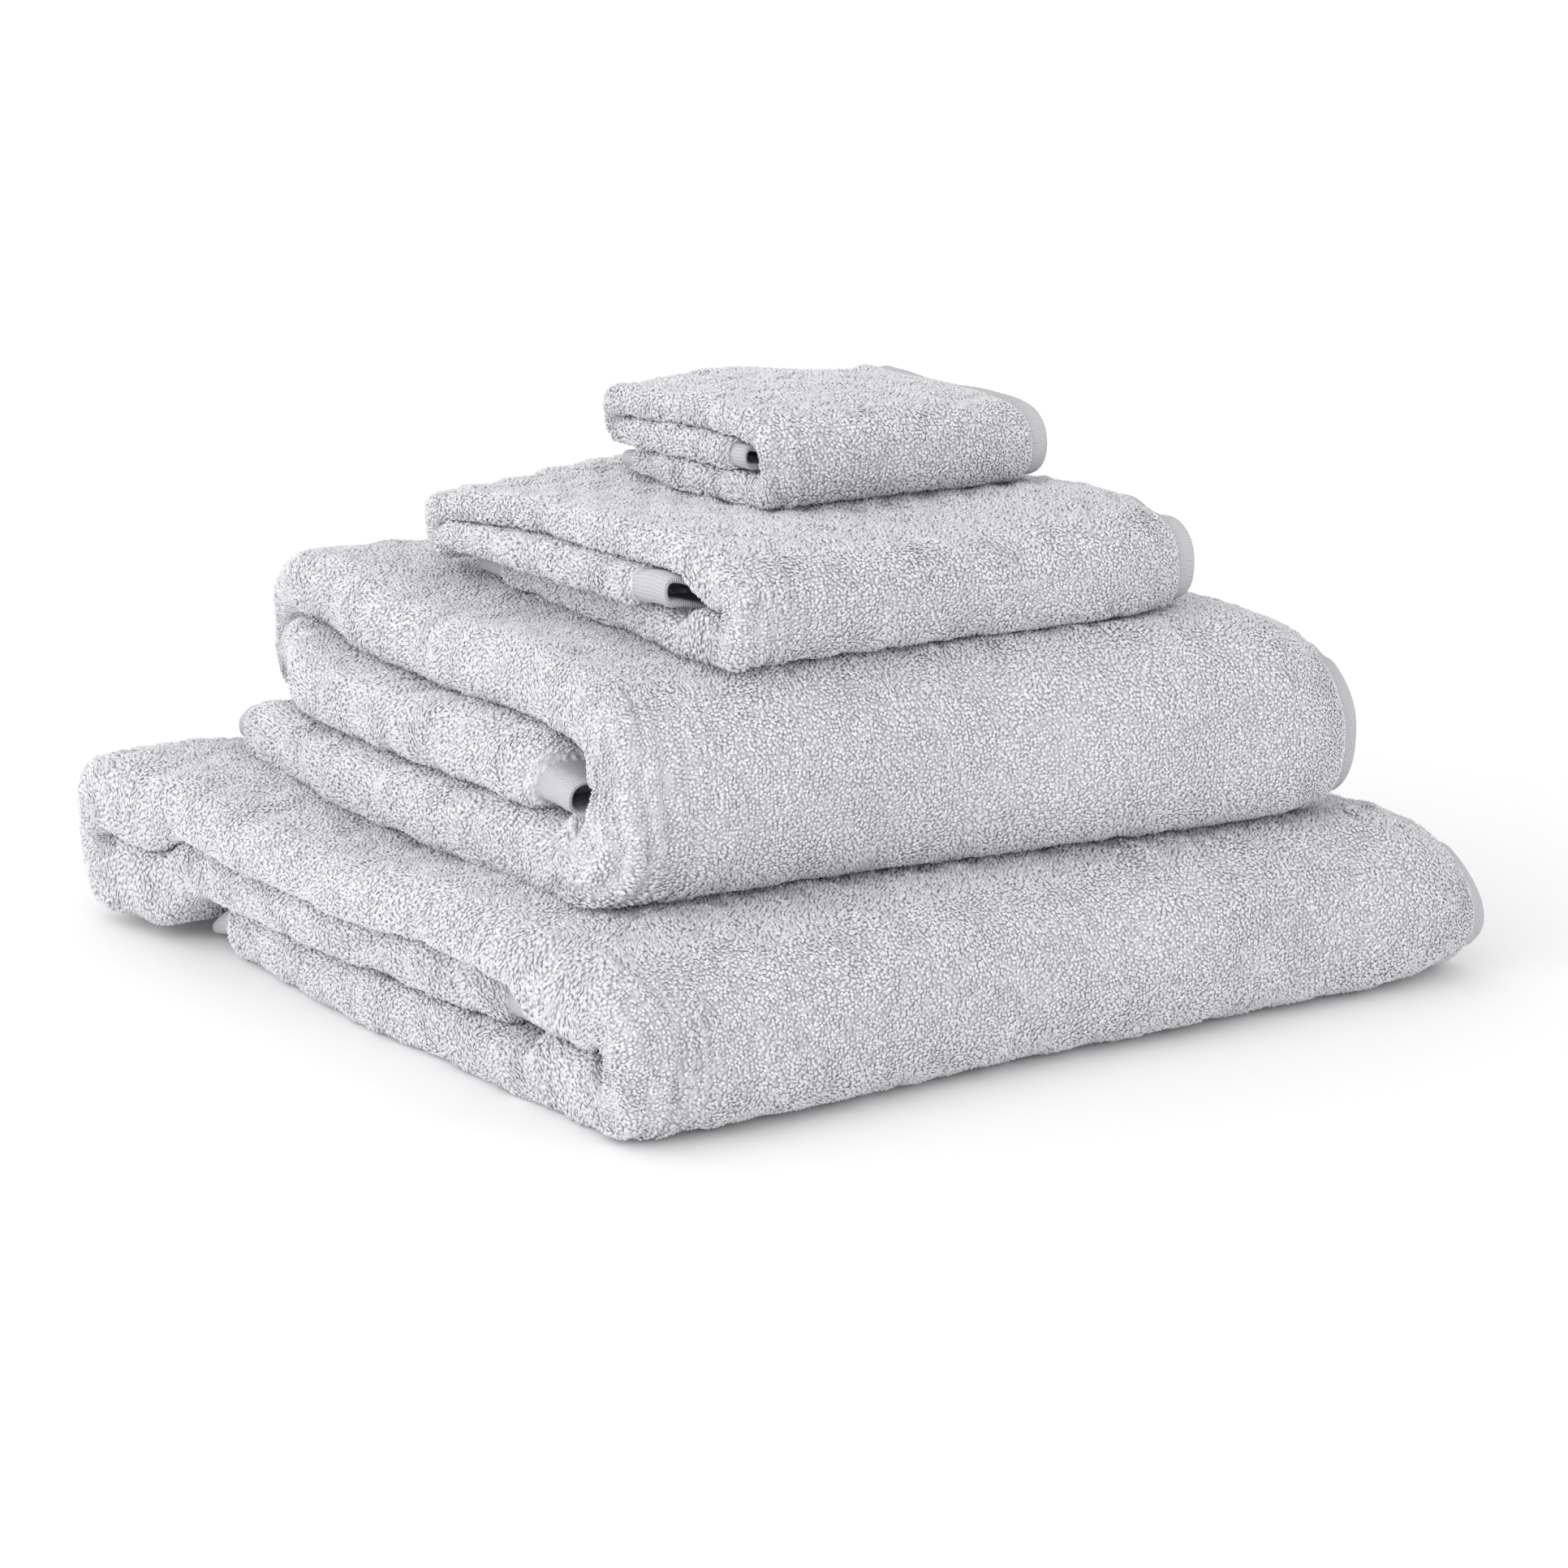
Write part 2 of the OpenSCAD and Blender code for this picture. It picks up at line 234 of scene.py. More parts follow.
class Fold:
    """Carries points of one flat towel to their places in the folded, stacked one.

    A flat place is along, from the outer end of the cloth to the inner end; across, from the side hem of
    the outer layer, round the fold lip, to the side hem of the layer under it; and lift, the height above
    the middle of the cloth's thickness, positive on the side that shows."""

    def __init__(self, name):
        sizes, cloth = getattr(bpy.context.scene, name), bpy.context.scene.cloth_sizes
        self.name, self.sizes, self.cloth, self.lie = name, sizes, cloth, LIE[name]
        self.w, self.d, self.t = sizes.width, sizes.depth, sizes.panel
        self.h = 3 * self.t + 2 * cloth.panel_gap
        self.half = (self.t - cloth.layer_gap) / 4
        self.mid = cloth.layer_gap / 2 + self.half
        self.low_z = self.t / 2
        self.mid_z = self.low_z + self.t + cloth.panel_gap
        self.top_z = self.mid_z + self.t + cloth.panel_gap
        self.front_r = (self.top_z - self.low_z) / 2
        self.back_r = (self.top_z - self.mid_z) / 2
        self.front_y = (self.h - self.d) / 2
        self.back_y = self.d / 2 - self.back_r - self.t / 2
        self.outer_y = self.d / 2 - sizes.back_step
        self.inner_y = self.front_y + sizes.cavity
        runs = (
            self.outer_y - self.front_y,
            math.pi * self.front_r,
            self.back_y - self.front_y,
            math.pi * self.back_r,
            self.back_y - self.inner_y,
        )
        self.marks = np.concatenate([[0], np.cumsum(runs)])
        self.length = float(self.marks[-1])
        self.lip_x = (self.t - self.w) / 2
        self.straight = self.w / 2 - self.lip_x
        self.lip_run = math.pi * self.mid
        self.across = 2 * self.straight + self.lip_run
        boxes = [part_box(node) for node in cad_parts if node.startswith(name)]
        low = np.min([b[0] for b in boxes], axis=0)
        high = np.max([b[1] for b in boxes], axis=0)
        self.centre = np.array([(low[0] + high[0]) / 2, (low[1] + high[1]) / 2, low[2]])
        c, s = math.cos(sizes.turn), math.sin(sizes.turn)
        self.rotation = np.array([[c, -s, 0], [s, c, 0], [0, 0, 1]])
        self.over = None

    def covers(self, world, margin):
        """1 where this towel lies above a place, fading to 0 outside it"""
        local = (world - self.centre) @ self.rotation
        x = (self.w / 2 - np.abs(local[:, 0])) / margin
        y = (self.d / 2 - np.abs(local[:, 1])) / margin
        return smooth(x + 0.2) * smooth(y + 0.2)

    def carry(self, flat):
        """The places in the stack of points of the flat cloth, each along, across and lift"""
        along, across, lift = flat.T
        x, height = self.doubled(across, lift)
        # the ends of the cloth carry no pile, so the doubled cloth grows thin there and sinks
        near_lip = smooth(1.2 - np.abs(across - self.straight - self.lip_run / 2) / (1.5 * self.t))
        thinning = 0.5 - np.where(along < self.length / 2, 0.42, self.lie["open"]) * near_lip
        pinch = thinning * (1 - smooth(np.minimum(along, self.length - along) / (2 * self.sizes.end_hem)))
        height = height * (1 - pinch)
        height = np.where(pinch < 0, np.clip(height, -self.t / 2, self.t / 2), height)
        y, z = self.in_three(along, height)
        return self.settled(along, x, y, z - pinch * self.t / 2)

    def doubled(self, across, lift):
        """The fold in half: the place across the towel, and the height above the doubled cloth's middle"""
        angle = np.clip(across - self.straight, 0, self.lip_run) / self.mid
        radius = (self.mid + lift) * squared(angle, self.lie["square"])
        run = np.maximum(self.straight - across, across - self.straight - self.lip_run)
        return self.lip_x + np.maximum(run, 0) - radius * np.sin(angle), radius * np.cos(angle)

    def in_three(self, along, height):
        """The fold in three: the depth and height of points this far outside the doubled cloth's middle"""
        part = np.clip(np.searchsorted(self.marks, along, side="right") - 1, 0, 4)
        run = along - self.marks[part]
        square = self.lie["square"]
        front, back = run / self.front_r, run / self.back_r
        front_reach = (self.front_r + height) * squared(front, square)
        back_reach = (self.back_r + height) * squared(back, square)
        back_z = (self.top_z + self.mid_z) / 2
        places = (
            (self.outer_y - run, self.low_z - height),
            (self.front_y - front_reach * np.sin(front), self.mid_z - front_reach * np.cos(front)),
            (self.front_y + run, self.top_z + height),
            (self.back_y + back_reach * np.sin(back), back_z + back_reach * np.cos(back)),
            (self.back_y - run, self.mid_z - height),
        )
        return np.choose(part, [p[0] for p in places]), np.choose(part, [p[1] for p in places])

    def settled(self, along, x, y, z):
        """The unevenness of a towel that was folded by hand and lies under others"""
        lie, w, d, h, m = self.lie, self.w, self.d, self.h, self.marks
        rng = np.random.default_rng(self.sizes.seed)
        z = self.filled_in_front(y, z)
        keys = [m[0], m[1] / 2, (m[1] + m[2]) / 2, m[2], (m[3] + m[4]) / 2, 0.8 * m[4] + 0.2 * m[5], m[5]]
        lips = np.interp(along, keys, np.array(lie["lips"]) * MM)
        lips = lips + LIP_WAVE[0] * ripple(rng, along[:, None], LIP_WAVE[1])
        left, right = np.clip(0.5 - x / w, 0, 1) ** 2, np.clip(0.5 + x / w, 0, 1) ** 2
        x = x - lips * left + END_WAVE[0] * ripple(rng, along[:, None], END_WAVE[1]) * right

        share = np.clip(z / h, 0, 1)
        points = np.stack([x, y, z], 1)
        rise = TOP_WAVE[0] * ripple(rng, points[:, :2], TOP_WAVE[1])
        for at_x, at_y, radius, height in lie["crown"]:
            away = (x - at_x * w / 2) ** 2 + (y - at_y * d / 2) ** 2
            rise += height * MM * np.exp(-away / (radius * MM) ** 2)
        rise -= lie["droop"] * MM * smooth((-y - d / 2 + DROOP_REACH) / DROOP_REACH) ** 1.5
        end_in, end_down, end_back = (v * MM for v in lie["end"])
        toward_end = smooth((x - w / 2 + END_REACH) / END_REACH)
        rise -= end_down * toward_end**1.3
        if self.over is not None:
            world = points @ self.rotation.T + self.centre
            rise *= 1 - self.over.covers(world, 0.03)
        near_front = smooth((-y - d / 2 + FRONT_REACH) / FRONT_REACH)
        near_left = smooth((-x - w / 2 + LEFT_REACH) / LEFT_REACH)
        belly = BELLY_WAVE[0] * ripple(rng, points * [1, 0.4, 1.4], BELLY_WAVE[1])
        x = x - end_in * toward_end**2 + belly * near_left
        y = y + end_back * toward_end**1.5 * near_front + belly * near_front
        # behind the outer end nothing holds the back fold up
        step = self.sizes.back_step
        hang = min(self.t - 3 * MM, 0.3 * step)
        behind = smooth((y - self.outer_y + 0.3 * step) / (0.48 * step))
        sunk = np.clip(3 * share, 0, 1) * (1 - 0.8 * np.clip(1.5 * share - 0.5, 0, 1))
        z = z + rise * share - hang * behind * sunk
        # nothing goes below what the towel lies on
        z = np.where(z < MM, MM * np.exp(np.minimum(z / MM - 1, 0)), z)
        return np.stack([x, y, z], 1) @ self.rotation.T + self.centre

    def filled_in_front(self, y, z):
        """Between the inner end and the front fold the top and bottom panels swell till they meet"""
        full = smooth((self.inner_y - y) / 0.014) * smooth((y - self.front_y + 0.6 * self.front_r) / 0.012)
        up = (z - self.mid_z) / (self.h / 2)
        near = 0.93 * full * np.minimum(np.abs(up), (1 - np.abs(up)) / 2)
        return z - np.sign(up) * near * self.h / 2


def make_folds():
    """The four towels' folds, each knowing the towel that lies on it"""
    folds = {name: Fold(name) for name in STACK}
    for under, over in zip(STACK, STACK[1:]):
        folds[under].over = folds[over]
    return folds


# ---------------------------------------------------------------- meshes


def new_piece(name, fold, flat, faces, material):
    """A closed mesh piece from points of the flat cloth, with its faces looking out. The flat places stay
    with it as an attribute, for its material's pattern, and as the map that its colours are laid out on."""
    points = fold.carry(flat)
    fan = [(faces[:, 0], faces[:, k], faces[:, k + 1]) for k in range(1, faces.shape[1] - 1)]
    volume = sum(np.einsum("ij,ij->", points[a], np.cross(points[b], points[c])) for a, b, c in fan)
    if volume < 0:
        faces = faces[:, ::-1]
    count, sides = faces.shape
    mesh = bpy.data.meshes.new(name)
    mesh.vertices.add(len(points))
    mesh.vertices.foreach_set("co", points.astype(np.float32).ravel())
    mesh.loops.add(count * sides)
    mesh.loops.foreach_set("vertex_index", faces.astype(np.int32).ravel())
    mesh.polygons.add(count)
    mesh.polygons.foreach_set("loop_start", np.arange(0, count * sides, sides, dtype=np.int32))
    mesh.polygons.foreach_set("use_smooth", np.ones(count, bool))
    mesh.update(calc_edges=True)
    mesh.validate()
    spots = mesh.attributes.new("flat_cloth", "FLOAT_VECTOR", "POINT")
    spots.data.foreach_set("vector", flat.astype(np.float32).ravel())
    # the side that shows takes the lower half of the map, and the hidden side the upper half
    low, high = flat.min(0), flat.max(0)
    laid = 0.01 + 0.98 * (flat[:, :2] - low[:2]) / (high[:2] - low[:2])
    laid[:, 1] = 0.5 * laid[:, 1] + 0.5 * (flat[:, 2] < 0)
    layer = mesh.uv_layers.new(name="OFBake")
    layer.uv.foreach_set("vector", laid[faces.ravel()].astype(np.float32).ravel())
    mesh.materials.append(material)
    piece = bpy.data.objects.new(name, mesh)
    bpy.context.scene.collection.objects.link(piece)
    return piece


def woven(name, fold, along, across, thickness, material):
    """A closed piece of cloth over the lines along and across; thickness gives its upper and lower faces'
    lifts, as a function of the flat place"""
    rows, cols = len(along), len(across)
    s, a = (grid.ravel() for grid in np.meshgrid(along, across, indexing="ij"))
    upper, lower = thickness(s, a)
    flat = np.stack([np.tile(s, 2), np.tile(a, 2), np.concatenate([upper, lower])], 1)
    grid = np.arange(rows * cols).reshape(rows, cols)
    top = np.stack([grid[:-1, :-1], grid[1:, :-1], grid[1:, 1:], grid[:-1, 1:]], -1).reshape(-1, 4)
    bottom = top[:, ::-1] + rows * cols
    ring = np.concatenate([grid[0, :-1], grid[:-1, -1], grid[-1, :0:-1], grid[:0:-1, 0]])
    after = np.roll(ring, -1)
    rim = np.stack([ring, after, after + rows * cols, ring + rows * cols], 1)
    return new_piece(name, fold, flat, np.concatenate([top, bottom, rim]), material)


def swell(distance, reach):
    """How full a rounded edge is at a distance from it: nearly 0 at the edge, 1 from reach on"""
    return np.sqrt(np.clip(1 - (1 - np.clip(distance / reach, 0, 1)) ** 2, 0.0025, 1))


def edge_lines(lines, reach):
    """Lines with a few more close to both ends, so that a rounded edge shows round"""
    low, high = lines[0], lines[-1]
    extra = np.array([0.0, 0.05, 0.17, 0.38, 0.68]) * reach
    inside = lines[(lines > low + reach * 0.9) & (lines < high - reach * 0.9)]
    return np.concatenate([low + extra, inside, high - extra[::-1]])


def along_lines(fold, low, high, coarse=0.010, fine=0.004):
    """Lines along the cloth, closer together round the front and back folds"""
    zone = (fold.marks[1] - 0.02, fold.marks[4] + 0.015)
    return graded(low, high, coarse, fine, [zone], 0.03)


def across_lines(fold, low, high, coarse=0.010, fine=0.003):
    """Lines across the cloth, close together round the lip"""
    lip = (fold.straight - 0.004, fold.straight + fold.lip_run + 0.004)
    lines = graded(low, high, coarse, fine, [(0, lip[1])], 0.03)
    close = np.linspace(lip[0], lip[1], 2 + int((lip[1] - lip[0]) / 0.0016))
    return np.sort(np.concatenate([lines[(lines < lip[0] - 0.001) | (lines > lip[1] + 0.001)], close]))


def ground_lift(fold, s, a, side):
    """The terry's ground above the middle of the cloth: full inside, thin at the hems, a little uneven, and
    gathered where the left lip turns round the front fold"""
    cloth = fold.cloth
    rng = np.random.default_rng([fold.sizes.seed, 2 + side])
    flat = np.stack([s, a], 1)
    edge = np.minimum.reduce([
        s - fold.sizes.end_hem, fold.length - fold.sizes.end_hem - s,
        a - cloth.side_hem, fold.across - cloth.side_hem - a,
    ])
    thin = 0.35 * cloth.hem_thick
    body = thin + (fold.half - 0.6 * cloth.pile - thin) * swell(edge, 0.006)
    bumps = COARSE_BUMPS[0] * ripple(rng, flat, COARSE_BUMPS[1])
    bumps = bumps + FINE_BUMPS[0] * ripple(rng, flat, FINE_BUMPS[1], 30)
    if side > 0:
        bumps += gathers(fold, s, a)
    return body + bumps * smooth(edge / 0.012)


def gathers(fold, s, a):
    """Small folds that fan out where the left lip turns round the front fold"""
    rng = np.random.default_rng([fold.sizes.seed, 7])
    m = fold.marks
    from_lip = (a - fold.straight - fold.lip_run / 2) / 0.030
    from_fold = (s - (m[1] + m[2]) / 2) / (0.55 * fold.front_r * math.pi)
    wave = np.sin(2 * math.pi * a / 0.0075 + 1.7 * ripple(rng, np.stack([s, a], 1), 0.045))
    return fold.lie["pucker"] * MM * wave * np.exp(-(from_lip**2) - from_fold**2)


def terry_cloth(fold):
    """The ground of the terry between the four hems"""
    end, side = fold.sizes.end_hem, fold.cloth.side_hem
    along = edge_lines(along_lines(fold, end, fold.length - end), 0.006)
    across = edge_lines(across_lines(fold, side, fold.across - side), 0.006)

    def thickness(s, a):
        return ground_lift(fold, s, a, 1), -ground_lift(fold, s, a, -1)

    return woven(f"{fold.name}_terry", fold, along, across, thickness, terry_material())


def spread(fold, s, a):
    """How far the side that shows is drawn out round the folds, along and across the cloth"""
    m, near = fold.marks, 0.004
    front = smooth((s - m[1]) / near + 0.5) * smooth((m[2] - s) / near + 0.5)
    back = smooth((s - m[3]) / near + 0.5) * smooth((m[4] - s) / near + 0.5)
    lip = smooth((a - fold.straight) / near + 0.5) * smooth((fold.straight + fold.lip_run - a) / near + 0.5)
    along = 1 + front * fold.t / 2 / fold.front_r + back * fold.t / 2 / fold.back_r
    return along, 1 + lip * fold.half / fold.mid


def loop_lines(low, high, gap, drawn_out):
    """Lines a loop's gap apart, closer where the cloth is drawn out"""
    spots = np.linspace(low, high, 4000)
    count = np.concatenate([[0], np.cumsum(np.diff(spots) * drawn_out(spots)[1:] / gap)])
    return np.interp(np.arange(int(count[-1]) + 1), count, spots)


def loop_places(fold, shown):
    """The flat places of the loops where shown says so, in staggered rows, from the outer end on"""
    gap = fold.sizes.loop_gap
    rng = np.random.default_rng([fold.sizes.seed, 5])
    end, side = fold.sizes.end_hem + 0.0008, fold.cloth.side_hem + 0.0008
    rows = loop_lines(end, fold.length - end, gap, lambda v: spread(fold, v, 0 * v)[0])
    columns = loop_lines(side, fold.across - side, 0.9 * gap, lambda v: spread(fold, 0 * v, v)[1])
    s, a = np.meshgrid(rows, columns, indexing="ij")
    s[:, ::2] += gap / 2
    s, a = s.ravel(), a.ravel()
    keep = shown(s, a)
    s, a = s[keep], a[keep]
    along, across = spread(fold, s, a)
    s = np.clip(s + rng.uniform(-0.35, 0.35, len(s)) * gap / along, end, fold.length - end)
    a = np.clip(a + rng.uniform(-0.35, 0.35, len(a)) * gap / across, side, fold.across - side)
    return s, a


def loop_pile(fold, name, s, a):
    """Upright yarn loops on the side that shows. Each is a small leaning closed bud, and neighbours lean
    nearly alike, as washed pile does."""
    gap, pile, count = fold.sizes.loop_gap, fold.cloth.pile, len(s)
    rng = np.random.default_rng([fold.sizes.seed, *name.encode()])
    lean_rng = np.random.default_rng([fold.sizes.seed, 6])
    end, side = fold.sizes.end_hem, fold.cloth.side_hem
    flat = np.stack([s, a], 1)
    edge = np.minimum.reduce([s - end, fold.length - end - s, a - side, fold.across - side - a])
    lean = []
    for _ in range(2):
        together = LEAN_WAVE[0] * ripple(lean_rng, flat, LEAN_WAVE[1])
        lean.append(together + STRAY_LEAN * rng.normal(size=count))
    turn = rng.uniform(0, math.pi, count)
    long, wide = gap * rng.uniform(0.58, 0.72, count), gap * rng.uniform(0.46, 0.58, count)
    height = pile * rng.uniform(0.75, 1.15, count) * (0.4 + 0.6 * smooth(edge / 0.005))
    ground = ground_lift(fold, s, a, 1)
    zero = np.zeros(count)
    along, across = spread(fold, s, a)
    foot = np.stack([s, a, ground - 0.3 * pile], 1)
    tip = np.stack([s + lean[0], a + lean[1], ground + height], 1)
    belt = foot + 0.6 * (tip - foot)
    flank = np.stack([long * np.cos(turn) / along, long * np.sin(turn) / across, zero], 1)
    cheek = np.stack([-wide * np.sin(turn) / along, wide * np.cos(turn) / across, zero], 1)
    corners = np.stack([foot, belt + flank, belt + cheek, belt - flank, belt - cheek, tip], 1)
    bud = np.array([(0, 2, 1), (0, 3, 2), (0, 4, 3), (0, 1, 4), (5, 1, 2), (5, 2, 3), (5, 3, 4), (5, 4, 1)])
    faces = (np.arange(count)[:, None, None] * 6 + bud).reshape(-1, 3)
    return new_piece(name, fold, corners.reshape(-1, 3), faces, pile_material())


def hem_band(fold, name, s_range, a_range, from_inner):
    """A flat woven hem: a band with a rounded turned edge and a shallow groove along its seam. from_inner
    gives how far a flat place is from the hem's inner edge."""
    cloth = fold.cloth
    reach = 0.5 * cloth.hem_thick
    along = edge_lines(along_lines(fold, *s_range, 0.006, 0.003), reach)
    across = edge_lines(across_lines(fold, *a_range, 0.006, 0.003), reach)

    def thickness(s, a):
        rim = np.minimum.reduce([s - s_range[0], s_range[1] - s, a - a_range[0], a_range[1] - a])
        body = 0.5 * cloth.hem_thick * swell(rim, reach)
        seam = from_inner(s, a) - cloth.seam_inset
        groove = GROOVE_DEPTH * np.exp(-((seam / GROOVE_REACH) ** 2))
        wave = hem_wave(fold, s, a)
        return wave + body - groove, wave - body + groove

    return woven(name, fold, along, across, thickness, hem_material())


def hem_wave(fold, s, a):
    """The slight waviness of a hem, as a shift of the whole cloth"""
    rng = np.random.default_rng([fold.sizes.seed, 11])
    return HEM_WAVE[0] * ripple(rng, np.stack([s, a], 1), HEM_WAVE[1])


def stitches(fold, name, starts, steps, sides=(1, -1)):
    """A seam's row of stitches, from flat places and steps to the next one; each stitch is a small bead of
    thread that dips into the cloth at both ends"""
    cloth = fold.cloth
    r = 0.5 * cloth.thread
    lift = 0.5 * cloth.hem_thick - GROOVE_DEPTH + 0.5 * r
    rows = []
    for side in sides:
        wave = hem_wave(fold, *(starts + steps / 2).T)
        middle = np.concatenate([starts + 0.5 * steps, (wave + side * lift)[:, None]], 1)
        run = np.concatenate([steps, np.zeros((len(steps), 1))], 1)
        across = np.stack([-run[:, 1], run[:, 0], 0 * run[:, 0]], 1)
        aside = r * across / np.linalg.norm(run, axis=1)[:, None]
        up = np.array([0, 0, side * r])
        rings = [middle - 0.46 * run - 1.6 * up]
        for at in (-0.3, 0.3):
            rings += [middle + at * run + aside, middle + at * run + up, middle + at * run - aside,
                      middle + at * run - up]
        rings.append(middle + 0.46 * run - 1.6 * up)
        rows.append(np.stack(rings, 1))
    flat = np.concatenate(rows)
    tips = [(0, 2, 1), (0, 3, 2), (0, 4, 3), (0, 1, 4), (9, 5, 6), (9, 6, 7), (9, 7, 8), (9, 8, 5)]
    walls = []
    for near in range(1, 5):
        after = near % 4 + 1
        walls += [(near, after, after + 4), (near, after + 4, near + 4)]
    pattern = np.array(tips + walls)
    mirrored = pattern[:, ::-1]
    half = len(flat) // len(sides)
    faces = [np.arange(k * half, (k + 1) * half)[:, None, None] * 10 + (pattern if side > 0 else mirrored)
             for k, side in enumerate(sides)]
    faces = np.concatenate(faces).reshape(-1, 3)
    return new_piece(name, fold, flat.reshape(-1, 3), faces, thread_material())


# ---------------------------------------------------------------- materials


def linear(hex_text):
    """An sRGB hex colour as linear light"""
    parts = [int(hex_text[i : i + 2], 16) / 255 for i in (0, 2, 4)]
    return [p / 12.92 if p <= 0.04045 else ((p + 0.055) / 1.055) ** 2.4 for p in parts] + [1.0]


def add_node(tree, kind, settings, inputs):
    """Adds a node with its settings; each input is a value, or another node's output to link"""
    made = tree.nodes.new(kind)
    for key, value in settings.items():
        setattr(made, key, value)
    for key, value in inputs.items():
        if isinstance(value, bpy.types.NodeSocket):
            tree.links.new(value, made.inputs[key])
        else:
            made.inputs[key].default_value = value
    return made


def new_material(name):
    material = bpy.data.materials.new(name)
    material.use_nodes = True
    material.node_tree.nodes.clear()
    return material, material.node_tree


def cotton(tree, colour, bump_height, bump_depth, roughness, sheen):
    """A cotton surface with its colour and relief"""
    bump = add_node(tree, "ShaderNodeBump", {}, {
        "Strength": 1.0, "Distance": bump_depth, "Height": bump_height})
    shader = add_node(tree, "ShaderNodeBsdfPrincipled", {}, {
        "Base Color": colour, "Normal": bump.outputs["Normal"], "Roughness": roughness, "IOR": 1.5,
        "Specular IOR Level": 0.25, "Sheen Weight": sheen, "Sheen Roughness": 0.5,
    })
    add_node(tree, "ShaderNodeOutputMaterial", {}, {"Surface": shader.outputs["BSDF"]})


def terry_material():
    """Ring-spun cotton terry ground: the weave between the loops, with painted shade between the loops and
    in mottled patches where they gather
    """
    if "cotton_terry_ground" in bpy.data.materials:
        return bpy.data.materials["cotton_terry_ground"]
    dyes = bpy.context.scene.dyes
    material, tree = new_material("cotton_terry_ground")
    flat = add_node(tree, "ShaderNodeAttribute", {"attribute_name": "flat_cloth"}, {}).outputs["Vector"]
    # a pattern of loops 2.2 mm across, coarser than the 1.7 mm between the loops so that it shows
    loops = add_node(tree, "ShaderNodeTexVoronoi", {"feature": "SMOOTH_F1"}, {
        "Vector": flat, "Scale": 450.0, "Smoothness": 0.4, "Randomness": 0.9})
    clumps = add_node(tree, "ShaderNodeTexNoise", {}, {"Vector": flat, "Scale": 220.0, "Detail": 3.0})
    height = add_node(tree, "ShaderNodeMath", {"operation": "MULTIPLY_ADD"}, {
        0: loops.outputs["Distance"], 1: -1.3, 2: clumps.outputs["Fac"]})
    # painted shade: the colour runs from the ground's shade colour up to the loop colour, darker toward the
    # edges of each loop's cell and in the clumps' patches; the same height also drives the bump
    shade = add_node(tree, "ShaderNodeMapRange", {}, {
        "Value": height.outputs["Value"], "From Min": -0.55, "From Max": 0.35})
    colour = add_node(tree, "ShaderNodeMix", {"data_type": "RGBA"}, {
        0: shade.outputs["Result"], 6: linear(dyes.ground), 7: linear(dyes.pile)})
    cotton(tree, colour.outputs[2], height.outputs["Value"], 0.0008, 0.95, 0.5)
    return material


def pile_material():
    """Ring-spun cotton loops: soft twisted yarn, dyed through, mottled from loop to loop between the loop
    colour and painted shade
    """
    if "cotton_loop_pile" in bpy.data.materials:
        return bpy.data.materials["cotton_loop_pile"]
    dyes = bpy.context.scene.dyes
    material, tree = new_material("cotton_loop_pile")
    flat = add_node(tree, "ShaderNodeAttribute", {"attribute_name": "flat_cloth"}, {}).outputs["Vector"]
    # twisted yarn, drawn coarser than its 0.2 mm so that it shows
    yarn = add_node(tree, "ShaderNodeTexNoise", {}, {"Vector": flat, "Scale": 1400.0, "Detail": 1.0})
    # mottling about as fine as the loops, from the loop colour down to the ground's painted shade colour:
    # partly tone that differs at random from loop to loop, partly painted shade where loops lean into shadow
    clumps = add_node(tree, "ShaderNodeTexNoise", {}, {
        "Vector": flat, "Scale": 450.0, "Detail": 2.0, "Roughness": 0.6})
    shade = add_node(tree, "ShaderNodeMapRange", {}, {
        "Value": clumps.outputs["Fac"], "From Min": 0.32, "From Max": 0.6})
    # the dark end of the mottling: the ground's painted shade colour
    tone = add_node(tree, "ShaderNodeMix", {"data_type": "RGBA"}, {
        0: 1.0, 6: linear(dyes.pile), 7: linear(dyes.ground)})
    colour = add_node(tree, "ShaderNodeMix", {"data_type": "RGBA"}, {
        0: shade.outputs["Result"], 6: tone.outputs[2], 7: linear(dyes.pile)})
    cotton(tree, colour.outputs[2], yarn.outputs["Fac"], 0.00025, 0.95, 0.5)
    return material


def hem_material():
    """Plain-woven cotton tape, flat and close, with warp and weft threads just showing"""
    if "plain_woven_cotton_hem" in bpy.data.materials:
        return bpy.data.materials["plain_woven_cotton_hem"]
    dyes = bpy.context.scene.dyes
    material, tree = new_material("plain_woven_cotton_hem")
    flat = add_node(tree, "ShaderNodeAttribute", {"attribute_name": "flat_cloth"}, {}).outputs["Vector"]
    # threads 0.9 mm apart, coarser than the real 0.5 mm so that they show
    waves = [add_node(tree, "ShaderNodeTexWave", {"bands_direction": way}, {
        "Vector": flat, "Scale": 350.0, "Distortion": 0.4}) for way in ("X", "Y")]
    weave = add_node(tree, "ShaderNodeMath", {"operation": "MULTIPLY"}, {
        0: waves[0].outputs["Fac"], 1: waves[1].outputs["Fac"]})
    colour = add_node(tree, "ShaderNodeMix", {"data_type": "RGBA"}, {
        0: weave.outputs["Value"], 6: [0.78 * v for v in linear(dyes.hem)[:3]] + [1], 7: linear(dyes.hem)})
    cotton(tree, colour.outputs[2], weave.outputs["Value"], 0.0004, 0.85, 0.2)
    return material


